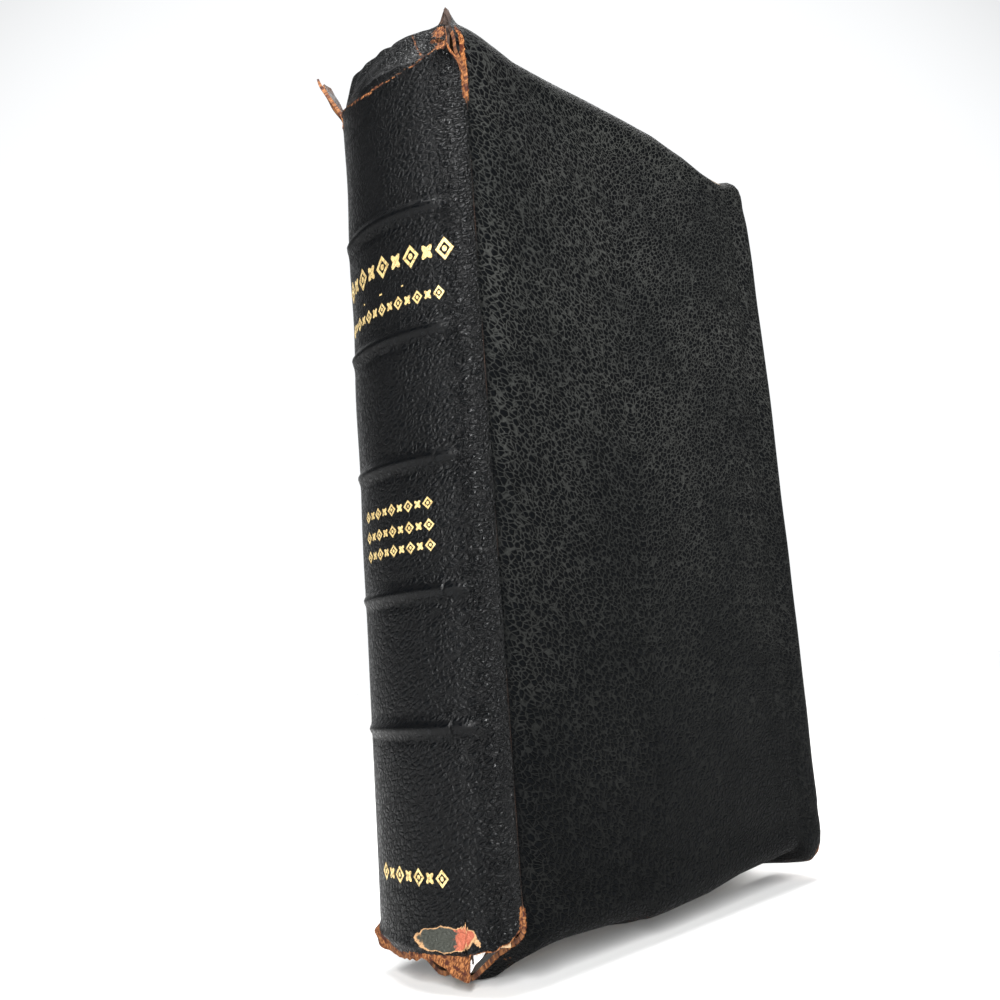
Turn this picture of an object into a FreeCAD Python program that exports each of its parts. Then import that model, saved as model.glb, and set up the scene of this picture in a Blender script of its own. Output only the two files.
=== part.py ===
"""A full-leather bible in a limp binding whose edges fold over the pages, built as a bench assembly.

The book stands on its tail. X runs through its thickness, with the front cover at +X, Y runs from the spine to
the fore-edge, and Z runs up the spine. All lengths are millimetres. The shapes are drawn about the book's middle
plane, x = 0, with the spine's two shoulders at y = 0, and moved at the end, so that the origin lies at the middle
of the foot of the whole book.
"""

import FreeCAD
import Part
import math
import os

V = FreeCAD.Vector

# ---- driving dimensions ----
THICKNESS = 46.6           # over both covers
COVER_DEPTH = 132.0        # spine shoulder to the fold at the fore-edge
SPINE_BULGE = 9.0          # how far the rounded spine stands out behind its shoulders
SPINE_TAIL = 9.0           # height of the spine's lower fold above the ground
SPINE_HEIGHT = 204.5       # between the spine's two folds
SPINE_FLAP_FOOT = 3.0      # lower edge of the spine's hanging flap
SPINE_FLAP_TOP = 224.0     # upper edge of the spine's standing flap
COVER_TAIL = 6.0           # underside of the covers' lower flaps
COVER_HEAD = 222.5         # top of the covers' upper flaps
HORN_TOP = 228.5           # tips of the torn leather beside the spine's head
BACK_HORN_OUT = 27.0       # how far the back cover's tip stands out from the middle plane
PAGE_TAIL = 13.0
PAGE_HEIGHT = 196.0
PAGE_DEPTH = 126.0
SECTIONS = 30              # folded and sewn groups of leaves
TURNING = 4                # sections at each side that turn with their cover

LEATHER = 1.1
BOARD = 0.6
PASTEDOWN = 0.25
FLYLEAF = 0.25
LAYER_GAP = 0.05           # between layers that are glued together
LOOSE_GAP = 0.3            # between layers that part when the book opens
FLAP_FOLD = 8.0            # outer radius of the folds along the cover's edges
COVER_CORNER = 12.0        # radius of the cover's two corners, seen from the side
PAGE_CORNER = 9.0
FLAP_REACH = 18.8          # how far each flap reaches over the pages
SPINE_FLAP_INSET = 4.0     # how far the spine's own flaps stop short of its shoulders
JOINT_GAP = 1.2            # from the shoulder to the start of the cover
GUTTER = 4.5               # where the turning leaves start to bend
GUTTER_GAP = 0.4           # between the turning leaves and their sewn folds

# ---- sizes that follow from them ----
HALF = THICKNESS / 2
SPINE_R = (HALF**2 + SPINE_BULGE**2) / (2 * SPINE_BULGE)
ARC_CENTRE_Y = SPINE_R - SPINE_BULGE
SPINE_HEAD = SPINE_TAIL + SPINE_HEIGHT
PAGE_HEAD = PAGE_TAIL + PAGE_HEIGHT
BOARD_OUT = HALF - LEATHER - LAYER_GAP
PASTEDOWN_OUT = BOARD_OUT - BOARD - LAYER_GAP
FLYLEAF_OUT = PASTEDOWN_OUT - PASTEDOWN - LOOSE_GAP
SECTION_GAP = 0.1
TURN_SHIFT = LOOSE_GAP - SECTION_GAP     # how far the turning sections stand off the others
BLOCK_HALF = FLYLEAF_OUT - FLYLEAF - LOOSE_GAP - TURN_SHIFT
SECTION_PITCH = 2 * BLOCK_HALF / SECTIONS
FOLD_BULGE = 0.25          # how far a section's fold stands out between its two edges
MIDDLE = V((HALF - BACK_HORN_OUT) / 2, (COVER_DEPTH - SPINE_BULGE) / 2, 0)   # of the whole book's foot

# The spine's layers, each as its outer radius about the same centre line.
LINER_R, LINER = SPINE_R - LEATHER - 0.1, 0.5
PAPER_R, PAPER = LINER_R - LINER - 0.1, 0.2
MULL_R, MULL = PAPER_R - PAPER - LAYER_GAP, 0.25
THREAD_D = 0.4
TAPE_R, TAPE = MULL_R - MULL - THREAD_D - 0.04, 0.3
BACK_R = TAPE_R - TAPE - LAYER_GAP
TAPE_HEIGHT = 9.0
TAPE_LEVELS = [PAGE_TAIL + PAGE_HEIGHT * share for share in (0.2, 0.4, 0.6, 0.8)]
KETTLE_INSET = 12.0
BAND_R = 1.2               # radius of the head and tail bands' cores

# Tongues of leather on each cover as x, y and z ranges, on the front cover's side: one stands at the spine's
# head, and one hangs at each end of the lower flap. The book stands on the hanging ones.
NEAR_SPINE = (JOINT_GAP, JOINT_GAP + 2)
NEAR_CORNER = (COVER_DEPTH - 14, COVER_DEPTH - 11)
FOOT = (0, COVER_TAIL + LEATHER)
FRONT_TONGUES = [
    (15, 20, *NEAR_SPINE, COVER_HEAD - 2 * LEATHER, HORN_TOP),
    (6, 16, *NEAR_SPINE, *FOOT),
    (8, 18, *NEAR_CORNER, *FOOT),
]
BACK_TONGUES = [
    (20, BACK_HORN_OUT, *NEAR_SPINE, COVER_HEAD - FLAP_FOLD, HORN_TOP),
    (6, 16, *NEAR_SPINE, *FOOT),
    (8, 18, *NEAR_CORNER, *FOOT),
]


def block(x0, x1, y0, y1, z0, z1):
    return Part.makeBox(x1 - x0, y1 - y0, z1 - z0, V(x0, y0, z0))


def mirrored(shape):
    """The same piece for the back cover's side."""
    return shape.mirror(V(0, 0, 0), V(1, 0, 0))


def fillet(shape, radius, wanted):
    """Rounds the edges for which wanted(middle point, direction) is true."""
    edges = []
    for edge in shape.Edges:
        middle = edge.valueAt((edge.FirstParameter + edge.LastParameter) / 2)
        if wanted(middle, edge):
            edges.append(edge)
    return shape.makeFillet(radius, edges)


def arc_point(radius, x):
    """The point of a spine layer at x."""
    return V(x, ARC_CENTRE_Y - math.sqrt(radius**2 - x**2), 0)


def arc_shell(outer, thick, half_width, z0, z1):
    """One curved layer of the spine, from z0 to z1, as wide as half_width to each side."""
    inner = outer - thick
    spread = math.asin(half_width / outer)
    corners = [(outer, -spread), (outer, spread), (inner, spread), (inner, -spread)]
    points = [V(r * math.sin(a), ARC_CENTRE_Y - r * math.cos(a), z0) for r, a in corners]
    edges = [
        Part.Arc(points[0], V(0, ARC_CENTRE_Y - outer, z0), points[1]).toShape(),
        Part.LineSegment(points[1], points[2]).toShape(),
        Part.Arc(points[2], V(0, ARC_CENTRE_Y - inner, z0), points[3]).toShape(),
        Part.LineSegment(points[3], points[0]).toShape(),
    ]
    return Part.Face(Part.Wire(edges)).extrude(V(0, 0, z1 - z0))


def cover_tray(inset, x_open, y_open):
    """A cover panel with its three flaps as a filled block, inset all round; it is open at x_open and y_open."""
    x_out = HALF - inset
    body = block(x_open, x_out, y_open, COVER_DEPTH - inset, COVER_TAIL + inset, COVER_HEAD - inset)
    body = fillet(
        body,
        COVER_CORNER - inset,
        lambda p, e: abs(p.y - (COVER_DEPTH - inset)) < 1e-3 and abs(p.x - (x_open + x_out) / 2) < 1e-3,
    )
    return fillet(body, FLAP_FOLD - inset, lambda p, e: abs(p.x - x_out) < 1e-3 and p.y > y_open + 1e-3)


def cover_leather(tongues):
    """A cover's leather with its three flaps, and the torn or worn tongues of leather that reach past them."""
    flap_x = HALF - FLAP_REACH
    skin = cover_tray(0, flap_x, JOINT_GAP).cut(cover_tray(LEATHER, flap_x - 5, JOINT_GAP - 5))
    for tongue in tongues:
        skin = skin.fuse(block(*tongue))
    return skin.removeSplitter()


def spine_leather():
    """The leather over the rounded spine, with its upright flap at the head and hanging flap at the tail."""
    panel = arc_shell(SPINE_R, LEATHER, HALF, SPINE_TAIL, SPINE_HEAD)
    flaps = arc_shell(SPINE_R, LEATHER, HALF - SPINE_FLAP_INSET, SPINE_FLAP_FOOT, SPINE_FLAP_TOP)
    return panel.fuse(flaps).removeSplitter()


def flat_sheet(x_out, thick, y0, y1, z0, z1, corner):
    """A flat sheet or card with its two fore-edge corners rounded."""
    sheet = block(x_out - thick, x_out, y0, y1, z0, z1)
    return fillet(sheet, corner, lambda p, e: abs(p.y - y1) < 1e-3 and abs(p.x - (x_out - thick / 2)) < 1e-3)


def leaf_outline(x, back_y, depth):
    """The outline of one leaf in the plane x, with its two fore-edge corners rounded."""
    fore_y = back_y + depth
    lift = PAGE_CORNER * (1 - math.sqrt(0.5))
    corners = []
    for level, inward in ((PAGE_TAIL, 1), (PAGE_HEAD, -1)):
        corners.append([
            V(x, fore_y - PAGE_CORNER, level),
            V(x, fore_y - lift, level + inward * lift),
            V(x, fore_y, level + inward * PAGE_CORNER),
        ])
    low, high = corners
    back_low, back_high = V(x, back_y, PAGE_TAIL), V(x, back_y, PAGE_HEAD)
    edges = [
        Part.LineSegment(back_low, low[0]).toShape(),
        Part.Arc(*low).toShape(),
        Part.LineSegment(low[2], high[2]).toShape(),
        Part.Arc(*reversed(high)).toShape(),
        Part.LineSegment(high[0], back_high).toShape(),
        Part.LineSegment(back_high, back_low).toShape(),
    ]
    return Part.Wire(edges)


def section(number, shift):
    """One folded section: its back follows the rounded spine and its fore-edge the matching hollow."""
    x0 = -BLOCK_HALF + number * SECTION_PITCH + SECTION_GAP / 2 + shift
    x2 = x0 + SECTION_PITCH - SECTION_GAP
    x1 = (x0 + x2) / 2
    outlines = []
    for x, bulge in ((x0, 0), (x1, FOLD_BULGE), (x2, 0)):
        back_y = arc_point(BACK_R, x).y + FOLD_BULGE
        outlines.append(leaf_outline(x, back_y - bulge, PAGE_DEPTH + bulge))
    return Part.makeLoft(outlines, True, True)


def leaves_and_fold(solid):
    """A turning section cut at the gutter: the leaves that turn, and the fold that stays sewn to the spine."""
    leaf_edge = GUTTER + GUTTER_GAP / 2
    fold_edge = GUTTER - GUTTER_GAP / 2
    leaves = solid.common(block(-HALF, HALF, leaf_edge, COVER_DEPTH, 0, COVER_HEAD))
    fold = solid.common(block(-HALF, HALF, -SPINE_BULGE, fold_edge, 0, COVER_HEAD))
    return leaves, fold


def band_core(level):
    """The corded core of a head or tail band, lying along the spine edge of the pages."""
    radius = BACK_R + 0.1
    spread = math.degrees(math.asin((BLOCK_HALF - 2) / radius))
    ring = Part.makeTorus(radius, BAND_R, V(0, 0, 0), V(0, 0, 1), -180, 180, 2 * spread)
    ring.rotate(V(0, 0, 0), V(0, 0, 1), -90 - spread)
    ring.translate(V(0, ARC_CENTRE_Y, level))
    return ring


def tape_stitches():
    """The sewing thread where it crosses each tape, one stitch for each section."""
    stitches = []
    radius = TAPE_R + THREAD_D / 2 + 0.02
    for level in TAPE_LEVELS:
        for number in range(SECTIONS):
            x = -BLOCK_HALF + (number + 0.5) * SECTION_PITCH
            foot = arc_point(radius, x) + V(0, 0, level - TAPE_HEIGHT / 2 - 0.5)
            stitches.append(Part.makeCylinder(THREAD_D / 2, TAPE_HEIGHT + 1, foot))
    return Part.makeCompound(stitches)


def kettle_stitches():
    """The linked stitches that tie the sections to each other near the head and the tail."""
    chains = []
    for level in (PAGE_TAIL + KETTLE_INSET, PAGE_HEAD - KETTLE_INSET):
        chains.append(arc_shell(BACK_R + 0.6, 0.4, BLOCK_HALF - 1, level - 0.4, level + 0.4))
    return Part.makeCompound(chains)


def cover_parts(tongues):
    """One cover's leather, board, lining and loose endleaf, drawn on the front cover's side."""
    y_flat = COVER_DEPTH - FLAP_FOLD
    z_low, z_high = COVER_TAIL + FLAP_FOLD, COVER_HEAD - FLAP_FOLD
    return {
        "cover_leather": cover_leather(tongues),
        "board": flat_sheet(BOARD_OUT, BOARD, 4, y_flat - 0.5, z_low + 1.5, z_high - 1.5, PAGE_CORNER),
        "pastedown": flat_sheet(PASTEDOWN_OUT, PASTEDOWN, 3.5, y_flat + 2, z_low - 2, z_high + 2, PAGE_CORNER),
        "flyleaf": flat_sheet(
            FLYLEAF_OUT, FLYLEAF, GUTTER - 1, PAGE_DEPTH + 1, PAGE_TAIL, PAGE_HEAD, PAGE_CORNER
        ),
    }


def spine_parts():
    """What the rounded back of the sewn block carries, from the leather inwards."""
    parts = {
        "spine_leather": spine_leather(),
        "spine_liner": arc_shell(LINER_R, LINER, HALF - 3, SPINE_TAIL + 1, SPINE_HEAD - 1),
        "spine_paper": arc_shell(PAPER_R, PAPER, HALF - 3.6, PAGE_TAIL + 1, PAGE_HEAD - 1),
        "mull_cloth": arc_shell(MULL_R, MULL, HALF - 3.6, PAGE_TAIL + 5, PAGE_HEAD - 5),
        "tape_stitches": tape_stitches(),
        "kettle_stitches": kettle_stitches(),
        "head_band": band_core(PAGE_HEAD + BAND_R + 0.1),
        "tail_band": band_core(PAGE_TAIL - BAND_R - 0.1),
    }
    for number, level in enumerate(TAPE_LEVELS, 1):
        low, high = level - TAPE_HEIGHT / 2, level + TAPE_HEIGHT / 2
        parts[f"sewing_tape_{number}"] = arc_shell(TAPE_R, TAPE, BLOCK_HALF - 0.6, low, high)
    return parts


def page_parts():
    """The sections, numbered from the front. Those that turn leave their sewn folds behind."""
    parts = {}
    folds = {"front_section_folds": [], "back_section_folds": []}
    for number in range(SECTIONS):
        at_front = number < TURNING
        at_back = number >= SECTIONS - TURNING
        solid = section(SECTIONS - 1 - number, TURN_SHIFT * (at_front - at_back))
        if at_front or at_back:
            solid, fold = leaves_and_fold(solid)
            folds["front_section_folds" if at_front else "back_section_folds"].append(fold)
        parts[f"section_{number + 1:02d}"] = solid
    for name, solids in folds.items():
        parts[name] = Part.makeCompound(solids)
    return parts


def main():
    os.makedirs("parts", exist_ok=True)
    parts = {}
    for name, shape in cover_parts(FRONT_TONGUES).items():
        parts["front_" + name] = shape
    for name, shape in cover_parts(BACK_TONGUES).items():
        parts["back_" + name] = mirrored(shape)
    parts.update(spine_parts())
    parts.update(page_parts())
    for name, shape in parts.items():
        shape.translate(-MIDDLE)
        if not shape.isValid():
            print("not valid:", name)
        shape.exportStep(f"parts/{name}.step")
    print(len(parts), "nodes")


main()
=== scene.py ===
"""The looks of a worn bible in a limp leather binding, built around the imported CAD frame.

Shapes are worked out in millimetres in the book's own coordinates: x from its middle plane towards the front
cover, y from the spine's shoulders to the fore-edge, and z from the ground. place() turns them into metres in
the frame.
"""

import math

import bpy
import numpy as np
from mathutils import Matrix, Vector


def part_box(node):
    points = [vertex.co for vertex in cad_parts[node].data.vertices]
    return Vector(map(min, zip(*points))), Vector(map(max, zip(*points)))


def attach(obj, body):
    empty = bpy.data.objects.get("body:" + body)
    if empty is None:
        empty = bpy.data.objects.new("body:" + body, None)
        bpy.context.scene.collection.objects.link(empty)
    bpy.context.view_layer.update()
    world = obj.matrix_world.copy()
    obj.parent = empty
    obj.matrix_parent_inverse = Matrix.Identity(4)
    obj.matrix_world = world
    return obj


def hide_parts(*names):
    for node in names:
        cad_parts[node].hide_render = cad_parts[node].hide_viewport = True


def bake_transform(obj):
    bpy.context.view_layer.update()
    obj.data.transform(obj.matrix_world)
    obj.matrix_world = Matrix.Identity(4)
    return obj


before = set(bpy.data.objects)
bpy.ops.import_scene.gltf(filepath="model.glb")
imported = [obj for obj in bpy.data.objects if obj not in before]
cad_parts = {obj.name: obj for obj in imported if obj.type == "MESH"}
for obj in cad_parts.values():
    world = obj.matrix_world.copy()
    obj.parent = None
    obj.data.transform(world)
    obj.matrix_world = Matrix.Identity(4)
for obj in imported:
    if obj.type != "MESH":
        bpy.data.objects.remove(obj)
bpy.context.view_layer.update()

# ---- sizes, from the frame ----
SPINE_LOW, SPINE_HIGH = (np.array(corner) * 1000 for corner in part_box("spine_leather"))
COVER_HIGH = np.array(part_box("front_cover_leather")[1]) * 1000
BLOCK_LOW, BLOCK_HIGH = (np.array(corner) * 1000 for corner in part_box("section_15"))
MIDDLE_X = (SPINE_LOW[0] + SPINE_HIGH[0]) / 2
HALF = (SPINE_HIGH[0] - SPINE_LOW[0]) / 2          # half the book's thickness
BULGE = 9.0                                        # how far the spine stands out behind its shoulders
SHOULDER_Y = SPINE_LOW[1] + BULGE
DEPTH = COVER_HIGH[1] - SHOULDER_Y                 # shoulder to the fold at the fore-edge
SPINE_TAIL, SPINE_HEAD = 9.0, 213.5                # the spine's two worn folds
COVER_TAIL, COVER_HEAD = 6.0, 222.5                # the covers' folds, before their waves
PAGE_TAIL, PAGE_HEAD = BLOCK_LOW[2], BLOCK_HIGH[2]

LEATHER = 1.1
FOLD = 8.0               # radius of the folds along the covers' edges
INSET = 14.0             # from the outline to where a cover is flat
CORNER = 12.0            # radius of the covers' corners
FLAT_Y, FLAT_LOW, FLAT_HIGH = DEPTH - INSET, COVER_TAIL + INSET, COVER_HEAD - INSET    # where a cover is flat
REACH = 18.8             # how far the flaps reach over the pages
JOINT_Y = 1.6            # where spine and cover meet, in the groove of the joint
BANDS = [55.35 + 30 * n for n in range(5)]         # heights of the raised bands
TOOLED = [21.2, 202.8]                             # heights of the blind tooled lines
PAGE_CORNER = 9.0        # radius of the leaves' corners
PAGE_ARC_Y, PAGE_ARC_R = 25.66, 31.55              # centre and radius of the round back of the pages


# ---- small helpers ----
def smooth(t):
    """0 below 0, 1 above 1, and an easy curve between."""
    t = np.clip(t, 0, 1)
    return t * t * (3 - 2 * t)


def hill(v, centre, width):
    """A soft rise around centre."""
    return np.exp(-(((v - centre) / width) ** 2))


def ripple(u, v, size, seed):
    """Smooth, uneven waves of about the given size, from -1 to 1, the same on every run."""
    draw = np.random.default_rng(seed)
    total = 0
    for _ in range(6):
        angle, phase, stretch = draw.uniform(0, math.tau), draw.uniform(0, math.tau), draw.uniform(0.6, 1.6)
        wave = (u * math.cos(angle) + v * math.sin(angle)) * math.tau / (size * stretch)
        total = total + np.sin(wave + phase)
    return total / 3.2


def place(points):
    """Book millimetres to frame metres."""
    return (np.asarray(points) + [MIDDLE_X, SHOULDER_Y, 0]) / 1000


def make_piece(name, points, faces, materials, face_slots=None, sharp=0.9):
    """A mesh object from points in book millimetres."""
    mesh = bpy.data.meshes.new(name)
    mesh.from_pydata(place(points).tolist(), [], [list(map(int, f)) for f in faces])
    for material in materials:
        mesh.materials.append(material)
    if face_slots is not None:
        mesh.polygons.foreach_set("material_index", np.asarray(face_slots, np.int32))
    mesh.polygons.foreach_set("use_smooth", np.ones(len(mesh.polygons), bool))
    mesh.update()
    mesh.set_sharp_from_angle(angle=sharp)
    piece = bpy.data.objects.new(name, mesh)
    bpy.context.collection.objects.link(piece)
    return piece


def add_values(piece, name, values):
    """A smooth value or vector at each vertex, for the materials to read."""
    values = np.asarray(values, np.float32)
    kind = "FLOAT_VECTOR" if values.ndim == 2 else "FLOAT"
    data = piece.data.attributes.new(name, kind, "POINT").data
    data.foreach_set("vector" if values.ndim == 2 else "value", values.ravel())


def grid_faces(index):
    """Quads over a 2-D array of vertex numbers."""
    a, b, c, d = index[:-1, :-1], index[1:, :-1], index[1:, 1:], index[:-1, 1:]
    return np.stack([a, d, c, b], -1).reshape(-1, 4)


def point_normals(points, faces):
    """Unit normals at the vertices of a quad mesh."""
    corners = points[faces]
    normals = np.cross(corners[:, 2] - corners[:, 0], corners[:, 3] - corners[:, 1])
    total = np.zeros_like(points)
    for k in range(4):
        np.add.at(total, faces[:, k], normals)
    return total / np.maximum(np.linalg.norm(total, axis=1), 1e-9)[:, None]


def rim_loop(faces):
    """The directed boundary edges of a quad mesh."""
    edges = np.concatenate([faces[:, [k, (k + 1) % 4]] for k in range(4)])
    backward = {(b, a) for a, b in edges.tolist()}
    return np.array([e for e in edges.tolist() if tuple(e) not in backward])


def thick_sheet(points, faces, thickness):
    """A closed leather sheet under the given outer surface. Faces come as outer, then inner, then rim."""
    count = len(points)
    inner = points - point_normals(points, faces) * np.reshape(thickness, (-1, 1))
    edges = rim_loop(faces)
    rim = np.stack([edges[:, 1], edges[:, 0], edges[:, 0] + count, edges[:, 1] + count], 1)
    all_faces = np.concatenate([faces, faces[:, ::-1] + count, rim])
    slots = np.repeat([0, 1, 2], [len(faces), len(faces), len(rim)])
    return np.concatenate([points, inner]), all_faces, slots


# ---- the cross-section of spine and joints ----
def level_profile():
    """The outer line of the leather from the middle of the spine to the flat of the front cover."""
    knots = np.array([
        (-6.0, -8.47), (0.0, -9.0), (6.0, -8.47), (12.0, -6.85), (16.5, -4.75), (19.8, -2.75),
        (21.55, -0.95), (22.05, 0.7), (21.95, 2.2), (22.3, 4.0), (22.95, 6.4), (HALF, 9.6), (HALF, 13.0),
    ])
    line = []
    for k in range(1, len(knots) - 2):
        p0, p1, p2, p3 = knots[k - 1:k + 3]
        for t in np.linspace(0, 1, 40, endpoint=False):
            line.append(0.5 * (2 * p1 + (p2 - p0) * t + (2 * p0 - 5 * p1 + 4 * p2 - p3) * t**2
                               + (3 * p1 - p0 - 3 * p2 + p3) * t**3))
    return np.array(line)


PROFILE = level_profile()
PROFILE_S = np.concatenate([[0], np.cumsum(np.linalg.norm(np.diff(PROFILE, axis=0), axis=1))])
JOINT_S = float(np.interp(JOINT_Y, PROFILE[:, 1], PROFILE_S))


def cover_x(y):
    """How far out the front cover's leather lies at y: it rises from the groove to the flat panel."""
    return np.where(y < PROFILE[-1, 1], np.interp(y, PROFILE[:, 1], PROFILE[:, 0]), HALF)


def spine_relief(s, z):
    """How far the spine's leather stands out or in: raised bands, tooled lines and slight unevenness."""
    fade = 1 - smooth((np.abs(s) - 15.5) / 6.5)
    out = 0.16 * ripple(s, z, 34, 5)
    for level in BANDS:
        out = out + 1.25 * hill(z, level, 1.4) * fade
        out = out - 0.45 * (hill(z, level - 2.8, 0.8) + 0.6 * hill(z, level + 2.9, 0.8)) * fade
    for level in TOOLED:
        out = out - 0.16 * hill(z, level, 0.55) * fade
    return out


def spine_surface(s, z):
    """Points and outward directions on the spine's leather, s measured along it from its middle."""
    side = np.sign(s)
    x = np.interp(np.abs(s), PROFILE_S, PROFILE[:, 0]) * side
    y = np.interp(np.abs(s), PROFILE_S, PROFILE[:, 1])
    x1 = np.interp(np.abs(s) + 0.4, PROFILE_S, PROFILE[:, 0]) * np.where(side == 0, 1, side)
    y1 = np.interp(np.abs(s) + 0.4, PROFILE_S, PROFILE[:, 1])
    along = np.stack([x1 - x, y1 - y], -1) * np.where(side == 0, 1, side)[..., None]
    along = along / np.linalg.norm(along, axis=-1, keepdims=True)
    outward = np.stack([along[..., 1], -along[..., 0], 0 * x], -1)
    points = np.stack([x, y, z + 0 * x], -1) + outward * spine_relief(s, z)[..., None]
    return points, outward


# ---- materials ----
class Nodes:
    """A short way to build one material's node tree."""

    def __init__(self, name, **settings):
        self.material = bpy.data.materials.new(name)
        self.material.use_nodes = True
        self.tree = self.material.node_tree
        self.shader = self.tree.nodes["Principled BSDF"]
        for key, value in settings.items():
            self.shader.inputs[key.replace("_", " ")].default_value = value

    def add(self, kind, inputs=(), output=0, **properties):
        """Adds a node. inputs maps a socket's name or number to a value or to another node's output."""
        node = self.tree.nodes.new("ShaderNode" + kind)
        for key, value in properties.items():
            setattr(node, key, value)
        for key, value in dict(inputs).items():
            if isinstance(value, bpy.types.NodeSocket):
                self.tree.links.new(value, node.inputs[key])
            else:
                node.inputs[key].default_value = value
        return node.outputs[output]

    def math(self, operation, a, b=0.0, c=0.0, clamp=False):
        return self.add("Math", {0: a, 1: b, 2: c}, operation=operation, use_clamp=clamp)

    def step(self, value, low, high, to_low=0.0, to_high=1.0):
        """A smooth change from to_low to to_high as value goes from low to high."""
        inputs = {"Value": value, "From Min": low, "From Max": high, "To Min": to_low, "To Max": to_high}
        return self.add("MapRange", inputs, interpolation_type="SMOOTHSTEP")

    def mix(self, factor, a, b):
        """Between two colours."""
        return self.add("Mix", {0: factor, 6: a, 7: b}, output=2, data_type="RGBA")

    def noise(self, vector, scale, detail=3.0, rough=0.55):
        return self.add("TexNoise", {"Vector": vector, "Scale": scale, "Detail": detail, "Roughness": rough})

    def stretch(self, vector, turn, scale):
        """The same coordinates turned in the sheet's plane and scaled."""
        turned = self.add("VectorRotate", {"Vector": vector, "Angle": turn}, rotation_type="Z_AXIS")
        return self.add("VectorMath", {0: turned, 1: scale}, operation="MULTIPLY")

    def wire(self, **links):
        for key, value in links.items():
            self.tree.links.new(value, self.shader.inputs[key.replace("_", " ")])
        return self.material

    def bump(self, height, distance, strength=1.0, under=None):
        inputs = {"Height": height, "Distance": distance, "Strength": strength}
        if under is not None:
            inputs["Normal"] = under
        return self.add("Bump", inputs)


def rgb(r, g, b):
    return (r, g, b, 1.0)


def in_mm(n):
    """A node's own place in millimetres."""
    return n.add("VectorMath", {0: n.add("TexCoord", output=3), 1: (1000, 1000, 1000)}, operation="MULTIPLY")


def flesh_colour(n, sheet):
    """Bare leather: tan and red-brown in streaks of fibre."""
    fibres = n.noise(n.stretch(sheet, 0.5, (2.2, 0.5, 1.0)), 1.6, 4)
    tan = n.mix(n.step(fibres, 0.4, 0.62), rgb(0.075, 0.022, 0.008), rgb(0.30, 0.125, 0.045))
    patches = n.noise(sheet, 0.5, 3)
    return n.mix(n.step(patches, 0.46, 0.62), tan, rgb(0.045, 0.013, 0.008)), fibres


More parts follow.
